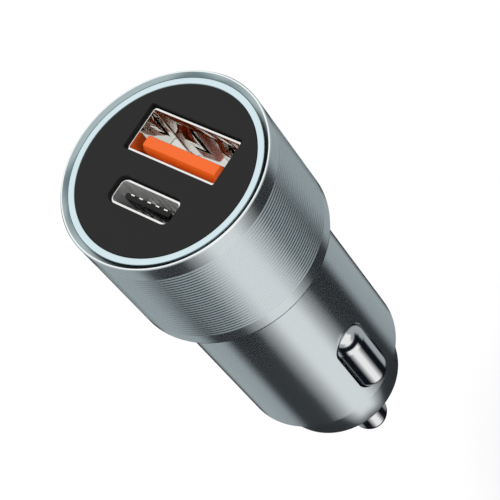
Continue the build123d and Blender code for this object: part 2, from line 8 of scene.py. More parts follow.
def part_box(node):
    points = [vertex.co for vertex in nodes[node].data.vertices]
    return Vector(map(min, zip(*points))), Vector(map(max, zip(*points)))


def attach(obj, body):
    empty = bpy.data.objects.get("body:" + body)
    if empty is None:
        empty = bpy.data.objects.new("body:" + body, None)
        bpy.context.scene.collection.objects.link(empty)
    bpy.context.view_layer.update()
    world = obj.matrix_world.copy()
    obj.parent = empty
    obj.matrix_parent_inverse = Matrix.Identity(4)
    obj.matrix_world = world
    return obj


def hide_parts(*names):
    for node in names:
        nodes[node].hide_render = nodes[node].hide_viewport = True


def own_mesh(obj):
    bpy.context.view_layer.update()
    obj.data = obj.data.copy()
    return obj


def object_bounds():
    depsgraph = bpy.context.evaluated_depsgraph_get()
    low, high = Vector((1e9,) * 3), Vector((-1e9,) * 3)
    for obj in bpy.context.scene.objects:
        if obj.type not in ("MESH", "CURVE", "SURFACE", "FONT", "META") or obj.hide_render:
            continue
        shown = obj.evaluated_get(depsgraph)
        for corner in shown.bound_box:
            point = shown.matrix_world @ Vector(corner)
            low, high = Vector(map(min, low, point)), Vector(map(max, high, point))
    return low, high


# Car charger plug for a 12 V socket: sizes in millimetres, scene in metres
mm = 0.001
mergeGap = 0.0005  # points closer than this, in mm, become one
sharpAngle = 35  # edges that turn more than this, in degrees, stay sharp
grainDetail = 3.0  # finer layers within a grain
lowColour, highColour, mixedColour = 6, 7, 2  # sockets of a Mix node that mixes colours
lowNumber, highNumber = 2, 3  # and of one that mixes numbers

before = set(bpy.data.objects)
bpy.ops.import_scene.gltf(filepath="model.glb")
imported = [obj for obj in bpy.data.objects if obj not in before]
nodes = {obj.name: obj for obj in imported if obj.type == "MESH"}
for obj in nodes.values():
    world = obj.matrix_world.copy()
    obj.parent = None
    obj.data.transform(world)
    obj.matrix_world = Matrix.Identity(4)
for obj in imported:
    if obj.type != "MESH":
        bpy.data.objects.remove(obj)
cadLow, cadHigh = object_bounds()
scene = bpy.context.scene
print("frame:", len(nodes), "nodes")


# Small tools

def hexColour(code):
    # sRGB to linear
    parts = [int(code[i : i + 2], 16) / 255 for i in (1, 3, 5)]
    return (*[p / 12.92 if p <= 0.04045 else ((p + 0.055) / 1.055) ** 2.4 for p in parts], 1.0)


def perMm(size):
    return 1 / (size * mm)  # texture scale of a pattern that repeats about every size


def addNode(tree, kind, inputs=None, **settings):
    # an input is a value, a socket to link, or a node whose first output is linked
    node = tree.nodes.new(kind)
    for name, value in settings.items():
        setattr(node, name, value)
    for name, value in (inputs or {}).items():
        if isinstance(value, bpy.types.Node):
            value = value.outputs[0]
        if isinstance(value, bpy.types.NodeSocket):
            tree.links.new(value, node.inputs[name])
        else:
            node.inputs[name].default_value = value
    return node


def bareTree(owner):
    # emptied node tree of a material or a world
    owner.use_nodes = True
    owner.node_tree.nodes.clear()
    return owner.node_tree


def nodeBox(name):
    low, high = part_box(name)
    return low / mm, high / mm


# Materials

def newFinish(name):
    finish = bpy.data.materials.new(name)
    tree = bareTree(finish)
    shader = addNode(tree, "ShaderNodeBsdfPrincipled")
    addNode(tree, "ShaderNodeOutputMaterial", {"Surface": shader})
    return finish, tree, shader


def followPattern(tree, shader, pattern, look):
    # colour and gloss drift between two values over the pattern, which also lifts the surface a little
    firstColour, lastColour = look["colours"]
    firstRough, lastRough = look["rough"]
    low, high = look.get("levels", (0.0, 1.0))
    tint = addNode(
        tree,
        "ShaderNodeMix",
        {"Factor": pattern, lowColour: hexColour(firstColour), highColour: hexColour(lastColour)},
        data_type="RGBA",
    )
    gloss = addNode(
        tree,
        "ShaderNodeMapRange",
        {"Value": pattern, "From Min": low, "From Max": high, "To Min": firstRough, "To Max": lastRough},
    )
    lift = addNode(
        tree,
        "ShaderNodeBump",
        {"Height": pattern, "Strength": look["bump"], "Distance": look["height"] * mm},
    )
    tree.links.new(tint.outputs[mixedColour], shader.inputs["Base Color"])
    tree.links.new(gloss.outputs[0], shader.inputs["Roughness"])
    tree.links.new(lift.outputs[0], shader.inputs["Normal"])
    shader.inputs["Metallic"].default_value = look.get("metallic", 0.0)
    shader.inputs["Specular IOR Level"].default_value = look.get("specular", 0.5)


def grainedFinish(name, **look):
    finish, tree, shader = newFinish(name)
    coords = addNode(tree, "ShaderNodeTexCoord").outputs["Object"]
    stretch = look.get("stretch", (1, 1, 1))
    stretched = addNode(tree, "ShaderNodeMapping", {"Vector": coords, "Scale": stretch})
    grain = addNode(
        tree,
        "ShaderNodeTexNoise",
        {"Vector": stretched, "Scale": perMm(look["grain"]), "Detail": grainDetail},
    )
    followPattern(tree, shader, grain.outputs["Fac"], look)
    return finish


def makeTurnedAluminium():
    # aluminium, turned, blasted and clear anodised: a soft cool grey mirror with faint lines round the axis
    look = {
        "colours": ("#C6CFD1", "#D3DBDD"),
        "grain": 0.3,
        "detail": 4.0,
        "line": 0.22,  # turning lines are about 0.05 mm apart and are drawn wider so that they show
        "lineDetail": 2.0,
        "lineShare": 0.35,
        "levels": (0.3, 0.7),
        "rough": (0.15, 0.21),
        "bump": 0.25,
        "height": 0.004,
        "metallic": 0.94,
    }
    finish, tree, shader = newFinish("turnedAnodisedAluminium")
    coords = addNode(tree, "ShaderNodeTexCoord").outputs["Object"]
    split = addNode(tree, "ShaderNodeSeparateXYZ", {0: coords})
    lines = addNode(
        tree,
        "ShaderNodeTexNoise",
        {"W": split.outputs["Z"], "Scale": perMm(look["line"]), "Detail": look["lineDetail"]},
        noise_dimensions="1D",
    )
    grain = addNode(
        tree,
        "ShaderNodeTexNoise",
        {"Vector": coords, "Scale": perMm(look["grain"]), "Detail": look["detail"]},
    )
    both = addNode(
        tree,
        "ShaderNodeMix",
        {"Factor": look["lineShare"], lowNumber: grain.outputs["Fac"], highNumber: lines.outputs["Fac"]},
    )
    followPattern(tree, shader, both, look)
    return finish


turnedAluminium = makeTurnedAluminium()

# the same aluminium, cut bright with a diamond after anodising: a sharp clean mirror on the rim
brightCutRim = grainedFinish(
    "brightCutAluminium",
    colours=("#EEF3F4", "#F4F8F9"), grain=0.4, rough=(0.10, 0.16),
    bump=0.05, height=0.002, metallic=1.0,
)
# the bevel inside the rim: the same aluminium as a dim blue-grey mirror, its darker colour painted shade
# for the recess between rim and light ring
paintedShadeBevel = grainedFinish(
    "bevelAluminiumPaintedShade",
    colours=("#A1B2B5", "#A9B8BB"), grain=0.4, rough=(0.12, 0.17),
    bump=0.05, height=0.002, metallic=1.0,
)
# ABS moulded in a spark-eroded tool: black with a fine even tooth that kills reflections
blackAbs = grainedFinish(
    "mattBlackAbs",
    colours=("#171717", "#1B1B1B"), grain=0.16, rough=(0.5, 0.62),
    bump=0.25, height=0.01, specular=0.3,
)
# diffusing acrylic: pale blue-white with a soft satin front
diffusingAcrylic = grainedFinish(
    "diffusingAcrylic",
    colours=("#C9DDE3", "#D2E3E8"), grain=1.6, rough=(0.35, 0.45),
    bump=0.05, height=0.005,
)
# cold rolled steel, bright nickel plated: clear mirror with faint rolling lines along the port
platedSteel = grainedFinish(
    "nickelPlatedSteel",
    colours=("#E9E9E7", "#F3F3F1"), grain=0.5, stretch=(1, 1, 0.08), rough=(0.01, 0.03),
    bump=0.002, height=0.0005, metallic=1.0,
)
# the same steel, drawn and semi-bright nickel plated: streaks of reflection over a grey haze,
# which the share that isn't metallic gives
hazySteel = grainedFinish(
    "semiBrightNickelSteel",
    colours=("#E6E6E5", "#F0F0EF"), grain=0.6, rough=(0.02, 0.05),
    bump=0.002, height=0.0005, metallic=0.6,
)
# glass-filled PBT, moulded: strong orange with a smooth low gloss
orangePbt = grainedFinish(
    "orangePbt",
    colours=("#EC6118", "#F26920"), grain=0.5, rough=(0.3, 0.4),
    bump=0.1, height=0.004,
)
# liquid crystal polymer, moulded: black, smooth enough to mirror at a low angle
blackLcp = grainedFinish(
    "blackLcp",
    colours=("#070708", "#0C0C0D"), grain=0.3, rough=(0.1, 0.18),
    bump=0.03, height=0.004, specular=0.25,
)
# copper alloy strip, thinly gold flashed over nickel: pale metal with a trace of warmth
flashedStrip = grainedFinish(
    "goldFlashedStrip",
    colours=("#F1EFE8", "#F9F8F3"), grain=0.2, rough=(0.16, 0.24),
    bump=0.05, height=0.002, metallic=1.0,
)
# pressed steel, polished and bright chromed: black and white mirror with a trace of ripple
brightChrome = grainedFinish(
    "brightChrome",
    colours=("#DFE0E1", "#E8E9EA"), grain=1.4, rough=(0.1, 0.15),
    bump=0.05, height=0.004, metallic=1.0,
)
# hardened spring steel, oil tempered: grey with a dull shine
temperedSteel = grainedFinish(
    "temperedSpringSteel",
    colours=("#7C7E82", "#94969A"), grain=0.3, rough=(0.25, 0.4),
    bump=0.1, height=0.004, metallic=1.0,
)
# rolled brass, stamped: yellow metal with fine scratches across
stampedBrass = grainedFinish(
    "stampedBrass",
    colours=("#B98F4A", "#CDA763"), grain=0.4, stretch=(1, 0.1, 1), rough=(0.25, 0.36),
    bump=0.1, height=0.004, metallic=1.0,
)
# nylon, moulded: near black with a soft grain
blackNylon = grainedFinish(
    "blackNylon",
    colours=("#19191A", "#212122"), grain=0.35, rough=(0.45, 0.6),
    bump=0.2, height=0.01,
)
# glass-fibre board under green solder lacquer: glossy skin over a faint weave
boardLacquer = grainedFinish(
    "greenBoardLacquer",
    colours=("#0C4A2C", "#136038"), grain=0.6, rough=(0.2, 0.32),
    bump=0.15, height=0.01,
)
# clear lamp moulding over a white chip: milky
milkyLamp = grainedFinish(
    "milkyLampResin",
    colours=("#E8E4CC", "#F2EFDE"), grain=0.4, rough=(0.2, 0.3),
    bump=0.05, height=0.004,
)
# pressed ferrite: dark grey, dry and grainy
pressedFerrite = grainedFinish(
    "pressedFerrite",
    colours=("#37373A", "#47474B"), grain=0.25, rough=(0.6, 0.75),
    bump=0.3, height=0.015,
)
# drawn aluminium can: pale metal with a soft shine
drawnCan = grainedFinish(
    "drawnAluminiumCan",
    colours=("#BFC2C6", "#D0D2D5"), grain=0.4, rough=(0.28, 0.38),
    bump=0.08, height=0.004, metallic=1.0,
)
# epoxy chip moulding: charcoal with a fine matt tooth
mattEpoxy = grainedFinish(
    "mattBlackEpoxy",
    colours=("#1A1A1B", "#232325"), grain=0.12, rough=(0.55, 0.68),
    bump=0.25, height=0.006,
)
# fired barium titanate: dull brown
firedCeramic = grainedFinish(
    "firedBrownCeramic",
    colours=("#8A6A48", "#9C7B57"), grain=0.2, rough=(0.4, 0.55),
    bump=0.1, height=0.005,
)
print("materials:", len(bpy.data.materials))


# Geometry Nodes: a turned piece from its half section, a wound coil, and two rows of strips

def newTree(name, sockets):
    tree = bpy.data.node_groups.new(name, "GeometryNodeTree")
    for label, kind in sockets.items():
        tree.interface.new_socket(label, in_out="INPUT", socket_type="NodeSocket" + kind)
    tree.interface.new_socket("Mesh", in_out="OUTPUT", socket_type="NodeSocketGeometry")
    return tree, addNode(tree, "NodeGroupInput").outputs


def endTree(tree, geometry, finish):
    whole = addNode(tree, "GeometryNodeRealizeInstances", {0: geometry})
    coated = addNode(tree, "GeometryNodeSetMaterial", {"Geometry": whole, "Material": finish})
    addNode(tree, "NodeGroupOutput", {0: coated})
    return tree


def makeTurningTree():
    tree, given = newTree(
        "turnedPiece",
        {
            "Section": "Geometry",
            "Rows": "Int",
            "Segments": "Int",
            "Finish": "Material",
        },
    )
    # one row of the grid for each point of the section, one column for each step round the axis
    columns = addNode(tree, "FunctionNodeIntegerMath", {0: given["Segments"], 1: 1}, operation="ADD")
    grid = addNode(tree, "GeometryNodeMeshGrid", {"Vertices X": given["Rows"], "Vertices Y": columns})
    index = addNode(tree, "GeometryNodeInputIndex")
    steps = {0: index, 1: columns}
    row = addNode(tree, "FunctionNodeIntegerMath", steps, operation="DIVIDE_FLOOR")
    column = addNode(tree, "FunctionNodeIntegerMath", steps, operation="MODULO")
    section = addNode(tree, "GeometryNodeAttributeDomainSize", {"Geometry": given["Section"]})
    wrap = {0: row, 1: section.outputs["Point Count"]}
    point = addNode(tree, "FunctionNodeIntegerMath", wrap, operation="MODULO")
    place = addNode(tree, "GeometryNodeInputPosition")
    sampled = addNode(
        tree,
        "GeometryNodeSampleIndex",
        {"Geometry": given["Section"], "Value": place, "Index": point},
        data_type="FLOAT_VECTOR",
    )
    share = addNode(tree, "ShaderNodeMath", {0: column, 1: given["Segments"]}, operation="DIVIDE")
    angle = addNode(tree, "ShaderNodeMath", {0: share, 1: math.tau}, operation="MULTIPLY")
    aim = {"Vector": sampled, "Angle": angle}
    turned = addNode(tree, "ShaderNodeVectorRotate", aim, rotation_type="Z_AXIS")
    moved = addNode(tree, "GeometryNodeSetPosition", {"Geometry": grid, "Position": turned})
    closed = addNode(tree, "GeometryNodeMergeByDistance", {"Geometry": moved, "Distance": mergeGap * mm})
    return endTree(tree, closed, given["Finish"])


def makeCoilTree():
    tree, given = newTree(
        "woundCoil",
        {
            "Seed": "Geometry",
            "Radius": "Float",
            "Height": "Float",
            "Turns": "Float",
            "Wire": "Float",
            "Steps": "Int",
            "Sides": "Int",
            "Foot": "Vector",
            "Finish": "Material",
        },
    )
    line = addNode(
        tree,
        "GeometryNodeCurveSpiral",
        {
            "Resolution": given["Steps"],
            "Rotations": given["Turns"],
            "Start Radius": given["Radius"],
            "End Radius": given["Radius"],
            "Height": given["Height"],
        },
    )
    circle = {"Resolution": given["Sides"], "Radius": given["Wire"]}
    section = addNode(tree, "GeometryNodeCurvePrimitiveCircle", circle)
    swept = {"Curve": line, "Profile Curve": section, "Fill Caps": True}
    wire = addNode(tree, "GeometryNodeCurveToMesh", swept)
    placed = addNode(tree, "GeometryNodeTransform", {"Geometry": wire, "Translation": given["Foot"]})
    return endTree(tree, placed, given["Finish"])


def makeStripTree():
    tree, given = newTree(
        "stripRows",
        {
            "Seed": "Geometry",
            "Across": "Int",
            "Pitch": "Vector",
            "Upper Strip": "Vector",
            "Upper Start": "Vector",
            "Lower Strip": "Vector",
            "Lower Start": "Vector",
            "Finish": "Material",
        },
    )
    both = addNode(tree, "GeometryNodeJoinGeometry")
    for row in ("Upper", "Lower"):
        line = addNode(
            tree,
            "GeometryNodeMeshLine",
            {"Count": given["Across"], "Start Location": given[row + " Start"], "Offset": given["Pitch"]},
        )
        strip = addNode(tree, "GeometryNodeMeshCube", {"Size": given[row + " Strip"]})
        strips = addNode(
            tree,
            "GeometryNodeInstanceOnPoints",
            {"Points": line.outputs["Mesh"], "Instance": strip.outputs["Mesh"]},
        )
        tree.links.new(strips.outputs[0], both.inputs[0])
    return endTree(tree, both, given["Finish"])


turningTree = makeTurningTree()
coilTree = makeCoilTree()
stripTree = makeStripTree()


# Mesh tools

def plainMesh(piece):
    # the piece as its modifiers leave it, with the modifiers gone
    graph = bpy.context.evaluated_depsgraph_get()
    mesh = bpy.data.meshes.new_from_object(piece.evaluated_get(graph))
    piece.modifiers.clear()
    piece.data = mesh


def newPiece(name, mesh, *finishes):
    piece = bpy.data.objects.new(name, mesh)
    scene.collection.objects.link(piece)
    for finish in finishes:
        mesh.materials.append(finish)
    return piece


def grow(name, tree, seed, values):
    piece = newPiece(name, seed)
    modifier = piece.modifiers.new("growth", "NODES")
    modifier.node_group = tree
    for item in tree.interface.items_tree:
        if item.name in values:
            modifier[item.identifier] = values[item.name]
    plainMesh(piece)
    piece.data.materials.clear()  # a grid brings an empty slot of its own
    piece.data.materials.append(values["Finish"])
    return piece


def shade(piece):
    # outward faces, smooth but for sharp edges
    build = bmesh.new()
    build.from_mesh(piece.data)
    bmesh.ops.recalc_face_normals(build, faces=build.faces)
    build.to_mesh(piece.data)
    build.free()
    piece.data.shade_smooth()
    piece.data.set_sharp_from_angle(angle=math.radians(sharpAngle))
    return piece


def roundedLine(corners, closed=True, steps=4):
    # corners are (radius, height, rounding)
    points = []
    for i, (r, z, rounding) in enumerate(corners):
        here = Vector((r, z))
        if not rounding or (not closed and i in (0, len(corners) - 1)):
            points.append(here)
            continue
        before = (Vector(corners[i - 1][:2]) - here).normalized()
        after = (Vector(corners[(i + 1) % len(corners)][:2]) - here).normalized()
        half = before.angle(after) / 2
        centre = here + (before + after).normalized() * rounding / math.sin(half)
        start = here + before * rounding / math.tan(half) - centre
        end = here + after * rounding / math.tan(half) - centre
        sweep = math.atan2(start.x * end.y - start.y * end.x, start.dot(end))
        points += [centre + Matrix.Rotation(sweep * k / steps, 2) @ start for k in range(steps + 1)]
    return points


def turn(name, corners, finish, segments, closed=True):
    points = roundedLine(corners, closed)
    seed = bpy.data.meshes.new(name)
    seed.from_pydata([(p.x * mm, 0, p.y * mm) for p in points], [], [])
    values = {"Rows": len(points) + closed, "Segments": segments, "Finish": finish}
    return shade(grow(name, turningTree, seed, values))


def outline(width, height, radius, centre=(0, 0), steps=8):
    # rectangle with round corners; a radius of half the height gives round ends
    points = []
    for quarter, (sideX, sideY) in enumerate(((1, 1), (-1, 1), (-1, -1), (1, -1))):
        for step in range(steps + 1):
            angle = (quarter + step / steps) * math.pi / 2
            x = centre[0] + sideX * (width / 2 - radius) + radius * math.cos(angle)
            y = centre[1] + sideY * (height / 2 - radius) + radius * math.sin(angle)
            points.append((x, y))
    return points


def growing(width, height, radius, centre=(0, 0), steps=8):
    # an outline that can be asked for wider all round, or narrower
    def grown(by):
        return outline(width + 2 * by, height + 2 * by, radius + by, centre, steps)

    return grown


def frontRound(back, front, rounding, steps=4):
    # heights and insets of a straight wall that ends in a rounded front edge
    turns = [k / steps * math.pi / 2 for k in range(steps + 1)]
    arc = [(front - rounding + rounding * math.sin(a), rounding * (1 - math.cos(a))) for a in turns]
    return [(back, 0)] + arc


def addRings(build, rings):
    rows = [[build.verts.new(Vector(p) * mm) for p in ring] for ring in rings]
    for low, high in zip(rows, rows[1:]):
        for i in range(len(low)):
            j = (i + 1) % len(low)
            build.faces.new((low[i], low[j], high[j], high[i]))
    return rows


def addBar(build, rings):
    # rings with both ends closed
    rows = addRings(build, rings)
    build.faces.new(rows[0])
    build.faces.new(rows[-1])


def addWalls(build, shape, sections, way=1):
    # straight walls along Z: the shape shrinks by each section's inset, or widens by it if the way is -1
    addRings(build, [[(x, y, z) for x, y in shape(-way * inset)] for z, inset in sections])


def addBox(build, low, high):
    corners = [(low[0], low[1]), (high[0], low[1]), (high[0], high[1]), (low[0], high[1])]
    addRings(build, [[(x, y, z) for x, y in corners] for z in (low[2], high[2])])


def addPost(build, centre, wide, deep, low, high):
    x, y = centre
    w, d = wide / 2, deep / 2
    corners = [(x - w, y - d), (x + w, y - d), (x + w, y + d), (x - w, y + d)]
    addBar(build, [[(a, b, z) for a, b in corners] for z in (low, high)])


def closeMesh(build, name):
    # merges what meets, fills each open end and gives the mesh
    bmesh.ops.remove_doubles(build, verts=build.verts, dist=mergeGap * mm)
    bmesh.ops.dissolve_degenerate(build, edges=build.edges, dist=mergeGap * mm)
    openEdges = {}
    for edge in build.edges:
        if len(edge.link_faces) == 1:
            openEdges.setdefault(round(edge.verts[0].co.z / mm, 2), []).append(edge)
    for level in sorted(openEdges):
        bmesh.ops.triangle_fill(build, use_beauty=True, edges=openEdges[level])
    mesh = bpy.data.meshes.new(name)
    build.to_mesh(mesh)
    build.free()
    return mesh


def closePiece(name, build, *finishes):
    return newPiece(name, closeMesh(build, name), *finishes)


def cutAway(piece, build):
    cutter = shade(closePiece("cutter", build))
    modifier = piece.modifiers.new("cut", "BOOLEAN")
    modifier.operation = "DIFFERENCE"
    modifier.solver = "EXACT"
    modifier.object = cutter
    plainMesh(piece)
    bpy.data.objects.remove(cutter)
    shade(piece)


def seat(piece, body, slot, *stoodFor):
    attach(piece, body)
    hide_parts(*stoodFor)
    print("piece:", piece.name, len(piece.data.polygons), "faces")


# Housing: rim, grooved head, shoulder and slotted barrel

def buildHousing():
    size = {
        "rimBevel": 0.1,
        "rimLand": 0.16,
        "rimDrop": 0.25,
        "ringSeat": 11.58,
        "ledge": 15.35,
        "grooves": 28,
        "groovePitch": 0.4785,
        "firstGroove": 2.36,
        "grooveWidth": 0.3,
        "grooveDepth": 0.14,
        "shoulderTaper": (0.14, 0.4),
        "barrel": 10.3,
        "barrelBevel": 0.15,
        "bore": 9.1,
        "headFloor": 1.4,
        "headBore": 10.93,
        "slotWidth": 5.0,
        "slotLength": 12.2,
        "slotFromEnd": 1.4,
        "slotSteps": 16,
        "edge": 0.04,
        "segments": 256,
    }
    low, high = nodeBox("housing")
    head, front, end = high.x, high.z, low.z
    edge = size["edge"]
    landStart = head - size["rimBevel"] - size["rimLand"]
    corners = [
        (size["ringSeat"], size["ledge"], 0),
        (size["ringSeat"], front - size["rimDrop"], edge),
        (landStart, front, edge),
        (head - size["rimBevel"], front, edge),
        (head, front - size["rimBevel"], edge),
    ]
    halfGroove = size["grooveWidth"] / 2
    for groove in range(size["grooves"]):
        middle = front - size["firstGroove"] - groove * size["groovePitch"]
        corners += [
            (head, middle + halfGroove, 0),
            (head - size["grooveDepth"], middle, 0),
            (head, middle - halfGroove, 0),
        ]
    taperIn, taperUp = size["shoulderTaper"]
    corners += [
        (head, taperUp, edge),
        (head - taperIn, 0, edge),
        (size["barrel"], 0, edge),
        (size["barrel"], end + size["barrelBevel"], edge),
        (size["barrel"] - size["barrelBevel"], end, edge),
        (size["bore"], end, 0),
        (size["bore"], size["headFloor"], 0),
        (size["headBore"], size["headFloor"], 0),
        (size["headBore"], size["ledge"], 0),
    ]
    housing = turn("turnedHousing", corners, turnedAluminium, size["segments"])

    # one long cutter makes both slots
    wide, long = size["slotWidth"], size["slotLength"]
    slotMiddle = (0, end + size["slotFromEnd"] + long / 2)
    shape = outline(wide, long, wide / 2, slotMiddle, size["slotSteps"])
    build = bmesh.new()
    addBar(build, [[(x, y, z) for y, z in shape] for x in (-head, head)])
    cutAway(housing, build)
    coatRim(housing.data, size["ringSeat"], landStart - edge, front - size["rimDrop"])
    roundBarrel(housing.data, end + size["barrelBevel"], 0)
    seat(housing, "plug", "satin_aluminium", "housing")


def coatRim(mesh, inner, landStart, bottom):
    # the rim is cut bright outside its inner bevel, which gets a dimmer mirror colour as painted shade
    mesh.materials.append(paintedShadeBevel)
    mesh.materials.append(brightCutRim)
    for patch in mesh.polygons:
        radius = patch.center.xy.length / mm
        if patch.center.z / mm > bottom and radius > inner:
            # faces inside the land radius take the painted shade finish, the rest the bright cut
            patch.material_index = 1 if radius < landStart else 2


def roundBarrel(mesh, low, high):
    # true round normals on the barrel, which the slots cut into odd faces
    facing = 0.999  # a barrel face looks straight out from the axis
    normals = [(0, 0, 0)] * len(mesh.loops)
    for patch in mesh.polygons:
        spoke = Vector((patch.center.x, patch.center.y, 0)).normalized()
        if patch.normal.dot(spoke) > facing and low < patch.center.z / mm < high:
            for loop in patch.loop_indices:
                place = mesh.vertices[mesh.loops[loop].vertex_index].co
                normals[loop] = Vector((place.x, place.y, 0)).normalized()
    mesh.normals_split_custom_set(normals)


# Nose: tapered end of the barrel

def buildNose():
    size = {
        "top": 9.7,
        "edge": 8.2,
        "edgeFromEnd": 3.9,
        "edgeRound": 0.8,
        "end": 4.6,
        "endRound": 0.4,
        "bushBore": 3.45,
        "floorFromEnd": 3.1,
        "spigotBore": 6.6,
        "corner": 0.05,
        "segments": 256,
    }
    low, high = nodeBox("nose_cap")
    corners = [
        (size["spigotBore"], high.z, 0),
        (size["top"], high.z, size["corner"]),
        (size["edge"], low.z + size["edgeFromEnd"], size["edgeRound"]),
        (size["end"], low.z, size["endRound"]),
        (size["bushBore"], low.z, size["corner"]),
        (size["bushBore"], low.z + size["floorFromEnd"], 0),
        (size["spigotBore"], low.z + size["floorFromEnd"], 0),
    ]
    nose = turn("turnedNose", corners, turnedAluminium, size["segments"])
    seat(nose, "plug", "satin_aluminium", "nose_cap")


# Face: light guide with its bright ring, and the black panel

def buildFace():
    size = {
        "ring": 11.53,
        "ringInner": 10.8,
        "ringEdge": 0.06,
        "ledge": 15.35,
        "guide": 10.88,
        "guideInner": 9.9,
        "guideSegments": 256,
        "panel": 10.75,
        "panelEdge": 0.12,
        "panelBack": 16.15,
        "panelSteps": 64,
        "openingRound": 0.08,
        "largeOpening": (13.2, 5.94, 0.2),
        "largeY": 3.44,
        "smallOpening": (9.04, 3.38, 0.95),
        "smallY": -4.01,
        "smallSteps": 16,
    }
    low, high = nodeBox("light_ring")
    back, front = size["panelBack"], high.z
    corners = [
        (size["guideInner"], low.z, 0),
        (size["guide"], low.z, 0),
        (size["guide"], size["ledge"], 0),
        (size["ring"], size["ledge"], 0),
        (size["ring"], front, size["ringEdge"]),
        (size["ringInner"], front, size["ringEdge"]),
        (size["ringInner"], back, 0),
        (size["guideInner"], back, 0),
    ]
    guide = turn("lightGuide", corners, diffusingAcrylic, size["guideSegments"])
    seat(guide, "plug", "light_guide", "light_ring")

    build = bmesh.new()
    across = 2 * size["panel"]
    disc = growing(across, across, size["panel"], (0, 0), size["panelSteps"])
    large = growing(*size["largeOpening"], (0, size["largeY"]))
    small = growing(*size["smallOpening"], (0, size["smallY"]), size["smallSteps"])
    addWalls(build, disc, frontRound(back, front, size["panelEdge"]))
    for hole in (large, small):
        addWalls(build, hole, frontRound(back, front, size["openingRound"]), -1)
    panel = shade(closePiece("facePanel", build, blackAbs))
    seat(panel, "plug", "black_panel", "front_panel")


# What both ports have: a sheet shell open at the front, and a steel back that the tongue comes through

def addShell(build, inside, sheet, middle, sections, steps=8):
    width, height, corner = inside
    outer = growing(width + 2 * sheet, height + 2 * sheet, corner + sheet, middle, steps)
    addWalls(build, outer, sections)
    addWalls(build, growing(width, height, corner, middle, steps), sections, -1)


def makeBack(outer, hole, low, thick):
    build = bmesh.new()
    sections = [(low, 0), (low + thick, 0)]
    addWalls(build, outer, sections)
    addWalls(build, hole, sections, -1)
    return closeMesh(build, "portBack")


# Large port: folded shell with spring fingers, orange moulding

def buildLargePort():
    size = {
        "y": 3.4,
        "inside": (12.5, 5.12, 0.2),
        "sheet": 0.3,
        "lip": 0.04,
        "board": 4.0,
        "legLow": 2.8,
        "legWidth": 1.8,
        "backThick": 0.3,
        "backFit": 0.15,
        "stripProud": 0.1,
        "fingerWidth": 1.7,
        "fingerLength": 5.4,
        "fingerGap": 0.4,
        "fingerReach": 0.45,
        "fingerFromFront": 1.5,
        "fingerSpacing": 5.6,
        "fingerSteps": 24,
        "bendSoftness": 0.18,
        "blockTop": 7.9,
        "blockFit": 0.05,
        "tongue": (11.1, 1.84),
        "tongueY": 2.48,
        "tongueCorner": 0.4,
        "tongueSetback": 0.5,
        "tongueTaper": (0.3, 0.8),
        "tongueEdge": 0.03,
        "stripPlaces": (-3.5, -1.0, 1.0, 3.5),
        "bed": (1.08, 0.33),
        "bedY": 3.21,
        "bedSetback": 1.16,
        "bedBelowBoard": 1.0,
    }
    front = nodeBox("usb_a_shell")[1].z
    foldLargeShell(size, front)
    mouldLargeTongue(size, front)


def foldLargeShell(size, front):
    width, height, corner = size["inside"]
    sheet = size["sheet"]
    middle = (0, size["y"])
    build = bmesh.new()
    addShell(build, size["inside"], sheet, middle, frontRound(size["board"], front, size["lip"]))
    shell = shade(closePiece("largePortShell", build, platedSteel))

    # windows round the fingers, through both long walls
    top = front - size["fingerFromFront"]
    halfWindow = size["fingerWidth"] / 2 + size["fingerGap"]
    places = [side * size["fingerSpacing"] / 2 for side in (-1, 1)]
    build = bmesh.new()
    for x in places:
        low = (x - halfWindow, size["y"] - height, top - size["fingerLength"])
        addBox(build, low, (x + halfWindow, size["y"] + height, top))
    cutAway(shell, build)

    # back, fingers and solder legs
    tongueWide, tongueThick = size["tongue"]
    proud, fit = size["stripProud"], size["backFit"]
    hole = growing(
        tongueWide + 2 * fit,
        tongueThick + proud + 2 * fit,
        size["tongueCorner"],
        (0, size["tongueY"] + proud / 2),
    )
    outer = growing(width + sheet, height + sheet, corner, middle)
    back = makeBack(outer, hole, size["blockTop"] + size["blockFit"], size["backThick"])
    build = bmesh.new()
    build.from_mesh(shell.data)
    build.from_mesh(back)
    for wall in (-1, 1):
        for x in places:
            addFinger(build, size, wall, x, top)
    for side in (-1, 1):
        foot = (side * (width + sheet) / 2, size["y"])
        addPost(build, foot, sheet, size["legWidth"], size["legLow"], size["board"])
    build.to_mesh(shell.data)
    build.free()
    seat(shade(shell), "plug", "port_steel", "usb_a_shell")


def addFinger(build, size, wall, x, top):
    # spring finger bowed from its wall into the port
    soft = size["bendSoftness"]
    half = size["fingerWidth"] / 2
    length = size["fingerLength"] - size["fingerGap"]
    rings = []
    for step in range(size["fingerSteps"] + 1):
        u = 2 * step / size["fingerSteps"] - 1
        slope = (math.hypot(u, soft) - soft) / (math.hypot(1, soft) - soft)
        inner = size["y"] + wall * (size["inside"][1] / 2 - size["fingerReach"] * (1 - slope))
        outer = inner + wall * size["sheet"]
        z = top - (u + 1) / 2 * length
        low, high = x - half, x + half
        rings.append([(low, inner, z), (high, inner, z), (high, outer, z), (low, outer, z)])
    addBar(build, rings)


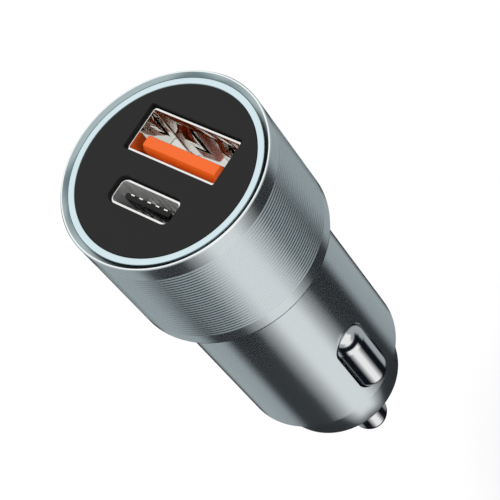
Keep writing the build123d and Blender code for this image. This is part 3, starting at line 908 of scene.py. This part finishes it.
def mouldLargeTongue(size, front):
    # block at the back, tongue with a tapered front, beds for the strips
    width, height, corner = size["inside"]
    fit, board, blockTop = size["blockFit"], size["board"], size["blockTop"]
    tongueFront = front - size["tongueSetback"]
    taper, taperLong = size["tongueTaper"]
    edge = size["tongueEdge"]
    build = bmesh.new()
    block = growing(width - 2 * fit, height - 2 * fit, corner, (0, size["y"]))
    addWalls(build, block, [(board, 0), (blockTop, 0)])
    addWalls(
        build,
        growing(*size["tongue"], size["tongueCorner"], (0, size["tongueY"])),
        [
            (blockTop, 0),
            (tongueFront - taperLong, 0),
            (tongueFront - edge, taper - edge),
            (tongueFront, taper),
        ],
    )
    moulding = shade(closePiece("largePortMoulding", build, orangePbt))
    bedWide, bedDeep = size["bed"]
    bedLow, bedHigh = board - size["bedBelowBoard"], tongueFront - size["bedSetback"]
    build = bmesh.new()
    for x in size["stripPlaces"]:
        low = (x - bedWide / 2, size["bedY"], bedLow)
        addBox(build, low, (x + bedWide / 2, size["bedY"] + bedDeep, bedHigh))
    cutAway(moulding, build)
    seat(moulding, "plug", "orange_moulding", "usb_a_insulator")


# Small port: drawn shell, black tongue and its contact strips

def buildSmallPort():
    size = {
        "y": -4.05,
        "inside": (8.34, 2.56, 0.55),
        "cornerSteps": 16,
        "sheet": 0.3,
        "lip": 0.04,
        "backThick": 0.3,
        "backFit": 0.15,
        "board": 4.0,
        "leg": 0.3,
        "legLow": 2.8,
        "blockTop": 10.6,
        "blockFit": 0.05,
        "tongue": (6.69, 0.7),
        "tongueSetback": 0.6,
        "tongueRound": 0.06,
        "strips": 5,
        "stripPitch": 1.22,
        "strip": (0.5, 0.14),
        "lowerSetback": 2.2,
        "bedFit": 0.04,
        "bedBelowBoard": 1.0,
    }
    front = nodeBox("usb_c_shell")[1].z
    drawSmallShell(size, front)
    mouldSmallTongue(size, front - size["tongueSetback"])


def drawSmallShell(size, front):
    width, height, corner = size["inside"]
    sheet, fit, steps = size["sheet"], size["backFit"], size["cornerSteps"]
    middle = (0, size["y"])
    tongueWide, tongueThick = size["tongue"]
    build = bmesh.new()
    addShell(build, size["inside"], sheet, middle, frontRound(size["board"], front, size["lip"]), steps)
    shell = closePiece("smallPortShell", build, hazySteel)
    outer = growing(width + sheet, height + sheet, corner, middle, steps)
    hole = growing(tongueWide + 2 * fit, tongueThick + 2 * fit, tongueThick / 2 + fit, middle)
    back = makeBack(outer, hole, size["blockTop"] + size["blockFit"], size["backThick"])
    build = bmesh.new()
    build.from_mesh(shell.data)
    build.from_mesh(back)
    for side in (-1, 1):
        foot = (side * (width + sheet) / 2, size["y"])
        addPost(build, foot, size["leg"], size["leg"], size["legLow"], size["board"])
    build.to_mesh(shell.data)
    build.free()
    # hazy inside, bright where the front edge was cut
    shell.data.materials.append(platedSteel)
    for patch in shell.data.polygons:
        patch.material_index = int(patch.center.z / mm > front - size["lip"])
    seat(shade(shell), "plug", "port_steel", "usb_c_shell")


def mouldSmallTongue(size, tongueFront):
    # block at the back, thin tongue with beds, and a row of strips on each of its faces
    width, height, corner = size["inside"]
    middle = (0, size["y"])
    fit, bedFit = size["blockFit"], size["bedFit"]
    tongueWide, tongueThick = size["tongue"]
    build = bmesh.new()
    block = growing(width - 2 * fit, height - 2 * fit, corner, middle, size["cornerSteps"])
    addWalls(build, block, [(size["board"], 0), (size["blockTop"], 0)])
    addWalls(
        build,
        growing(tongueWide, tongueThick, tongueThick / 2, middle),
        frontRound(size["blockTop"], tongueFront, size["tongueRound"]),
    )
    tongue = shade(closePiece("smallPortTongue", build, blackLcp))

    pitch = size["stripPitch"]
    stripWide, stripThick = size["strip"]
    stripLow = nodeBox("usb_c_contacts")[0].z
    firstX = -(size["strips"] - 1) / 2 * pitch
    rowY = (tongueThick - stripThick) / 2
    bedX, bedY = stripWide / 2 + bedFit, stripThick / 2 + bedFit
    bedLow = size["board"] - size["bedBelowBoard"]
    values = {"Across": size["strips"], "Pitch": (pitch * mm, 0, 0), "Finish": flashedStrip}
    rows = (("Upper", 1, tongueFront), ("Lower", -1, tongueFront - size["lowerSetback"]))
    build = bmesh.new()
    for row, side, stripTop in rows:
        y = size["y"] + side * rowY
        length = stripTop - stripLow
        values[row + " Strip"] = (stripWide * mm, stripThick * mm, length * mm)
        values[row + " Start"] = (firstX * mm, y * mm, (stripLow + length / 2) * mm)
        for k in range(size["strips"]):
            x = firstX + k * pitch
            addBox(build, (x - bedX, y - bedY, bedLow), (x + bedX, y + bedY, stripTop + bedFit))
    cutAway(tongue, build)
    seat(tongue, "plug", "black_moulding", "usb_c_tongue")
    strips = grow("smallPortStrips", stripTree, bpy.data.meshes.new("smallPortStrips"), values)
    seat(shade(strips), "plug", "contact_strip", "usb_c_contacts")


# Side contacts: pressed half-round crowns with domed ends, on a flange behind the wall

def buildContacts():
    size = {
        "width": 4.6,
        "length": 11.8,
        "flange": (6.4, 13.7),
        "flangeRound": 0.08,
        "sheet": 0.5,
        "domeSteps": 20,
        "endSteps": 32,
    }
    low, high = nodeBox("side_contact_right")
    middle = (0, (low.z + high.z) / 2)
    crown = size["width"] / 2
    axis = high.x - crown
    sheet, soft = size["sheet"], size["flangeRound"]
    straight = size["length"] - size["width"]
    flangeWide, flangeLong = size["flange"]

    def dome(radius):
        # rings of one wall of the crown, from its foot to its ridge
        turns = [k / size["domeSteps"] * math.pi / 2 for k in range(size["domeSteps"] + 1)]
        widths = [(axis + radius * math.sin(a), 2 * radius * math.cos(a)) for a in turns]
        return [(x, width, width + straight) for x, width in widths]

    # from the ridge inside, round the flange, to the ridge outside
    inner = 2 * (crown - sheet)
    rings = dome(crown - sheet)[::-1] + [(low.x, inner, inner + straight)]
    for x, inset in (
        (low.x, soft),
        (low.x + soft, 0),
        (low.x + sheet - soft, 0),
        (low.x + sheet, soft),
    ):
        rings.append((x, flangeWide - 2 * inset, flangeLong - 2 * inset))
    rings += [(low.x + sheet, size["width"], size["length"])] + dome(crown)
    for side, name, body, node in (
        (1, "rightContact", "right_contact", "side_contact_right"),
        (-1, "leftContact", "left_contact", "side_contact_left"),
    ):
        build = bmesh.new()
        loops = []
        for x, width, length in rings:
            shape = outline(width, length, width / 2, middle, size["endSteps"])
            loops.append([(side * x, y, z) for y, z in shape])
        addRings(build, loops)
        contact = shade(closePiece(name, build, brightChrome))
        seat(contact, body, "contact_chrome", node)


# Leaf springs bowed between the contacts and the earth tabs

def buildLeaves():
    size = {"width": 3.2, "thick": 0.25, "halfSpan": 4.8, "travel": 1.5, "steps": 32}
    low, high = nodeBox("contact_spring_right")
    middle = (low.z + high.z) / 2
    rise = high.x - low.x
    half = size["width"] / 2

    def bow(span, height, share):
        radius = (span**2 + height**2) / (2 * height)
        angle = math.asin(span / radius) * share
        return low.x + height - radius + radius * math.cos(angle), middle + radius * math.sin(angle)

    for side, name, joint, node in (
        (1, "rightLeaf", "right_contact_press", "contact_spring_right"),
        (-1, "leftLeaf", "left_contact_press", "contact_spring_left"),
    ):
        rings = []
        for step in range(size["steps"] + 1):
            share = 2 * step / size["steps"] - 1
            outX, outZ = bow(size["halfSpan"] + size["thick"], rise, share)
            inX, inZ = bow(size["halfSpan"], rise - size["thick"], share)
            ring = [(outX, -half, outZ), (outX, half, outZ), (inX, half, inZ), (inX, -half, inZ)]
            rings.append([(side * x, y, z) for x, y, z in ring])
        build = bmesh.new()
        addBar(build, rings)
        leaf = shade(closePiece(name, build, temperedSteel))
        seat(leaf, "plug", "spring_steel", node)
        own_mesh(leaf)


# Centre pin, its insulating bush and its coil

def buildPin():
    size = {
        "pin": 2.4,
        "tipSteps": 24,
        "flange": 4.4,
        "flangeThick": 1.1,
        "guide": 2.2,
        "guideLength": 1.4,
        "bush": 3.4,
        "bushBore": 2.46,
        "bushFlangeThick": 1.0,
        "bushEdge": 0.3,
        "wire": 0.5,
        "wireSides": 16,
        "coil": 6.4,
        "coilSteps": 64,
        "turns": 4.5,
        "plate": -27.9,
        "travel": 3.0,
        "edge": 0.08,
        "segments": 128,
    }
    low, high = nodeBox("centre_pin")
    edge = size["edge"]
    stop = high.z - size["guideLength"] - size["flangeThick"]
    corners = [(0, low.z, 0)]
    for step in range(1, size["tipSteps"] + 1):
        angle = step / size["tipSteps"] * math.pi / 2
        corners.append((size["pin"] * math.sin(angle), low.z + size["pin"] * (1 - math.cos(angle)), 0))
    corners += [
        (size["pin"], stop, 0),
        (size["flange"], stop, edge),
        (size["flange"], stop + size["flangeThick"], edge),
        (size["guide"], stop + size["flangeThick"], 0),
        (size["guide"], high.z, edge),
        (0, high.z, 0),
    ]
    pin = turn("centrePin", corners, brightChrome, size["segments"], closed=False)
    seat(pin, "pin", "contact_chrome", "centre_pin")

    low, high = nodeBox("pin_bush")
    floor = high.z - size["bushFlangeThick"]
    corners = [
        (size["bushBore"], high.z, 0),
        (high.x, high.z, edge),
        (high.x, floor, 0),
        (size["bush"], floor, 0),
        (size["bush"], low.z, size["bushEdge"]),
        (size["bushBore"], low.z, edge),
    ]
    bush = turn("pinBush", corners, blackNylon, size["segments"])
    seat(bush, "plug", "bush_plastic", "pin_bush")

    low, high = nodeBox("pin_spring")
    values = {
        "Radius": size["coil"] / 2 * mm,
        "Height": (high.z - low.z - size["wire"]) * mm,
        "Turns": size["turns"],
        "Wire": size["wire"] / 2 * mm,
        "Steps": size["coilSteps"],
        "Sides": size["wireSides"],
        "Foot": (0, 0, (low.z + size["wire"] / 2) * mm),
        "Finish": temperedSteel,
    }
    coil = grow("pinCoil", coilTree, bpy.data.meshes.new("pinCoil"), values)
    seat(shade(coil), "plug", "spring_steel", "pin_spring")
    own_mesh(coil)


buildHousing()
buildNose()
buildFace()
buildLargePort()
buildSmallPort()
buildContacts()
buildLeaves()
buildPin()

# inner pieces keep their solids and get their real finish
innerFinishes = {
    "usb_a_contacts": flashedStrip,
    "port_board": boardLacquer,
    "ring_lights": milkyLamp,
    "main_board": boardLacquer,
    "inductor": pressedFerrite,
    "input_capacitor": drawnCan,
    "output_capacitor": mattEpoxy,
    "power_chip": mattEpoxy,
    "protocol_chip": mattEpoxy,
    "chip_capacitors": firedCeramic,
    "carrier": blackNylon,
    "earth_tab_right": stampedBrass,
    "earth_tab_left": stampedBrass,
    "positive_plate": stampedBrass,
}
for name, finish in innerFinishes.items():
    nodes[name].data.materials.clear()
    nodes[name].data.materials.append(finish)
print("inner pieces:", len(innerFinishes))


# Stage: camera, floor, sky, sun, and a tent of pale and dark cloths that only the metal mirrors

cameraView = {
    "azimuth": 69.016,
    "elevation": 52.196,
    "roll": -39.712,
    "distance": 227.772,
    "aim": (-5.156, 3.597, -10.866),
    "lens": 136.44,
    "sensor": 36.0,
    "nearest": 10,
}


def towards(azimuth, elevation):
    spin = math.radians(azimuth)
    lift = math.radians(elevation)
    return Vector((math.sin(spin) * math.cos(lift), -math.cos(spin) * math.cos(lift), math.sin(lift)))


def setCamera():
    back = towards(cameraView["azimuth"], cameraView["elevation"])
    data = bpy.data.cameras.new("photoCamera")
    data.lens = cameraView["lens"]
    data.sensor_width = cameraView["sensor"]
    data.clip_start = cameraView["nearest"] * mm
    camera = bpy.data.objects.new("photoCamera", data)
    camera.rotation_mode = "QUATERNION"
    level = (-back).to_track_quat("-Z", "Y")
    camera.rotation_quaternion = level @ Quaternion((0, 0, 1), math.radians(cameraView["roll"]))
    camera.location = (Vector(cameraView["aim"]) + back * cameraView["distance"]) * mm
    scene.collection.objects.link(camera)
    scene.camera = camera


def setFloor():
    # plain pale paper, well below the plug
    size = {"drop": 110, "half": 3000, "colour": "#F9F9F9", "rough": 0.9}
    half = size["half"] * mm
    height = cadLow.z - size["drop"] * mm
    corners = [(x * half, y * half, height) for x, y in ((-1, -1), (1, -1), (1, 1), (-1, 1))]
    mesh = bpy.data.meshes.new("paleFloor")
    mesh.from_pydata(corners, [], [(0, 1, 2, 3)])
    finish, _, shader = newFinish("palePaper")
    shader.inputs["Base Color"].default_value = hexColour(size["colour"])
    shader.inputs["Roughness"].default_value = size["rough"]
    shader.inputs["Specular IOR Level"].default_value = 0.0
    floor = newPiece("paleFloor", mesh, finish)
    floor.visible_glossy = False


def setSky():
    # white to the eye and in mirrors, dimmer as a light
    light = {"sky": 0.4, "sun": 2.2, "sunAngle": 20, "sunAzimuth": 15, "sunElevation": 74}
    world = bpy.data.worlds.new("softSky")
    tree = bareTree(world)
    path = addNode(tree, "ShaderNodeLightPath").outputs
    seen = path["Is Camera Ray"]
    for ray in ("Is Glossy Ray", "Is Transmission Ray"):
        seen = addNode(tree, "ShaderNodeMath", {0: seen, 1: path[ray]}, operation="MAXIMUM")
    level = addNode(tree, "ShaderNodeMapRange", {"Value": seen, "To Min": light["sky"], "To Max": 1.0})
    sky = addNode(tree, "ShaderNodeBackground", {"Color": (1, 1, 1, 1), "Strength": level})
    addNode(tree, "ShaderNodeOutputWorld", {"Surface": sky})
    scene.world = world

    data = bpy.data.lights.new("softSun", "SUN")
    data.energy = light["sun"]
    data.angle = math.radians(light["sunAngle"])
    sun = bpy.data.objects.new("softSun", data)
    sun.rotation_mode = "QUATERNION"
    shine = -towards(light["sunAzimuth"], light["sunElevation"])
    sun.rotation_quaternion = shine.to_track_quat("-Z", "Y")
    sun.visible_glossy = False
    scene.collection.objects.link(sun)


def setTent():
    white, pale, grey, black = "#FFFFFF", "#B4B4B4", "#A8B0B3", "#10131A"
    ball = {"radius": 2500 * mm, "u_segments": 64, "v_segments": 32}
    behind = 0.21  # the bands fan out from a point this share of the tent behind the plug
    # cloths hung round the plug: bands by the turn from the camera's side, in degrees, at several heights
    bands = {
        "under": ((0, black), (180, black)),
        "floor": ((0, white), (10, white), (22, pale), (35, black)),
        "low": (
            (0, white), (10, white), (22, pale), (35, black),
            (64, black), (78, grey), (128, grey), (142, black),
        ),
        "middle": (
            (0, white), (20, white), (34, black), (52, black), (66, grey),
            (112, grey), (126, black), (142, black), (154, white),
        ),
        "high": ((0, black), (58, black), (76, grey), (122, grey), (142, black)),
        "upper": ((0, white), (10, white), (34, grey), (108, grey), (132, white)),
        "crown": ((0, white), (48, white), (64, grey), (94, grey), (110, white)),
        "top": ((0, white), (180, white)),
    }
    # heights over which each layer takes over from the one below it, in degrees
    layers = {
        "floor": (-85, -79),
        "low": (-64, -57),
        "middle": (-46, -40),
        "high": (-13, -5),
        "upper": (18, 28),
        "crown": (40, 46),
        "top": (58, 66),
    }
    mesh = bpy.data.meshes.new("clothTent")
    build = bmesh.new()
    bmesh.ops.create_uvsphere(build, **ball)
    build.to_mesh(mesh)
    build.free()
    finish = bpy.data.materials.new("tentCloth")
    tree = bareTree(finish)
    coords = addNode(tree, "ShaderNodeTexCoord").outputs["Object"]
    # the camera's side becomes +X
    aim = {"Vector": coords, "Angle": math.radians(90 - cameraView["azimuth"])}
    aside = addNode(tree, "ShaderNodeVectorRotate", aim, rotation_type="Z_AXIS")
    way = addNode(tree, "ShaderNodeVectorMath", {0: aside}, operation="NORMALIZE")
    split = addNode(tree, "ShaderNodeSeparateXYZ", {0: way}).outputs
    ahead = addNode(tree, "ShaderNodeMath", {0: split["X"], 1: behind}, operation="ADD")
    bearing = addNode(tree, "ShaderNodeMath", {0: split["Y"], 1: ahead}, operation="ARCTAN2")
    unsigned = addNode(tree, "ShaderNodeMath", {0: bearing}, operation="ABSOLUTE")
    share = addNode(tree, "ShaderNodeMath", {0: unsigned, 1: math.pi}, operation="DIVIDE")
    cloth = {}
    for name, stops in bands.items():
        ramp = addNode(tree, "ShaderNodeValToRGB", {0: share})
        marks = ramp.color_ramp.elements
        while len(marks) < len(stops):
            marks.new(0.5)
        for mark, (degrees, colour) in zip(marks, stops):
            mark.position = degrees / 180
            mark.color = hexColour(colour)
        cloth[name] = ramp
    rise = addNode(tree, "ShaderNodeMath", {0: split["Z"]}, operation="ARCSINE")
    height = addNode(tree, "ShaderNodeMath", {0: rise}, operation="DEGREES")
    colour = cloth["under"]
    for name, (start, end) in layers.items():
        span = {"Value": height, "From Min": start, "From Max": end}
        mask = addNode(tree, "ShaderNodeMapRange", span, interpolation_type="SMOOTHSTEP")
        blend = {"Factor": mask, lowColour: colour, highColour: cloth[name]}
        colour = addNode(tree, "ShaderNodeMix", blend, data_type="RGBA").outputs[mixedColour]
    glow = addNode(tree, "ShaderNodeEmission", {"Color": colour})
    addNode(tree, "ShaderNodeOutputMaterial", {"Surface": glow})
    finish.cycles.emission_sampling = "NONE"
    tent = newPiece("clothTent", mesh, finish)
    for ray in ("camera", "diffuse", "shadow", "transmission", "volume_scatter"):
        setattr(tent, "visible_" + ray, False)


setCamera()
setFloor()
setSky()
setTent()
scene.view_settings.view_transform = "Standard"
scene.cycles.glossy_bounces = 12  # the ports mirror themselves many times over
print("stage set")
